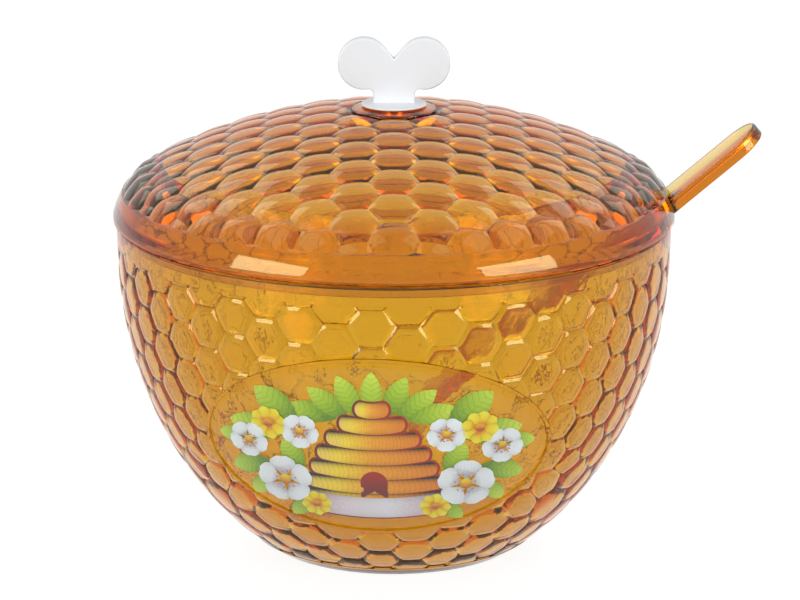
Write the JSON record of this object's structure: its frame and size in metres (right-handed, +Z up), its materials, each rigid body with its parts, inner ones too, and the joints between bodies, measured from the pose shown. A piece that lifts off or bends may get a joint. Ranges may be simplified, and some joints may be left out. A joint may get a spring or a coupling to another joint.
{
  "type": "honey jar with spoon",
  "caption": "Round honeycombed plastic honey bowl on a small foot, with a domed lift-off lid, a two-lobed knob, an oval printed label and a spoon through the lid's notch.",
  "frame": {"origin": "centre of the foot's underside, on the bowl's axis", "axes": "+Z up along the bowl's axis, +X towards the spoon's handle, the label faces about -Y"},
  "size_m": [0.1451, 0.126, 0.1156],
  "materials": {
    "amber_plastic": "clear amber polystyrene, polished mould surface",
    "white_plastic": "opaque white, satin to gloss",
    "printed_film": "printed self-adhesive film, gloss"
  },
  "bodies": {
    "bowl_body": {"bowl": "amber_plastic", "label": "printed_film"},
    "lid_body": {"lid": "amber_plastic", "knob": "white_plastic"},
    "spoon_body": {"spoon": "amber_plastic"}
  },
  "joints": [
    {"name": "lid_lift", "type": "slide", "parent": "bowl_body", "child": "lid_body", "axis": [0, 0, 1], "range_m": [0, 0.12]},
    {"name": "spoon_draw", "type": "slide", "parent": "bowl_body", "child": "spoon_body", "axis": [0.7593, 0, 0.6508], "range_m": [0, 0.045]}
  ]
}
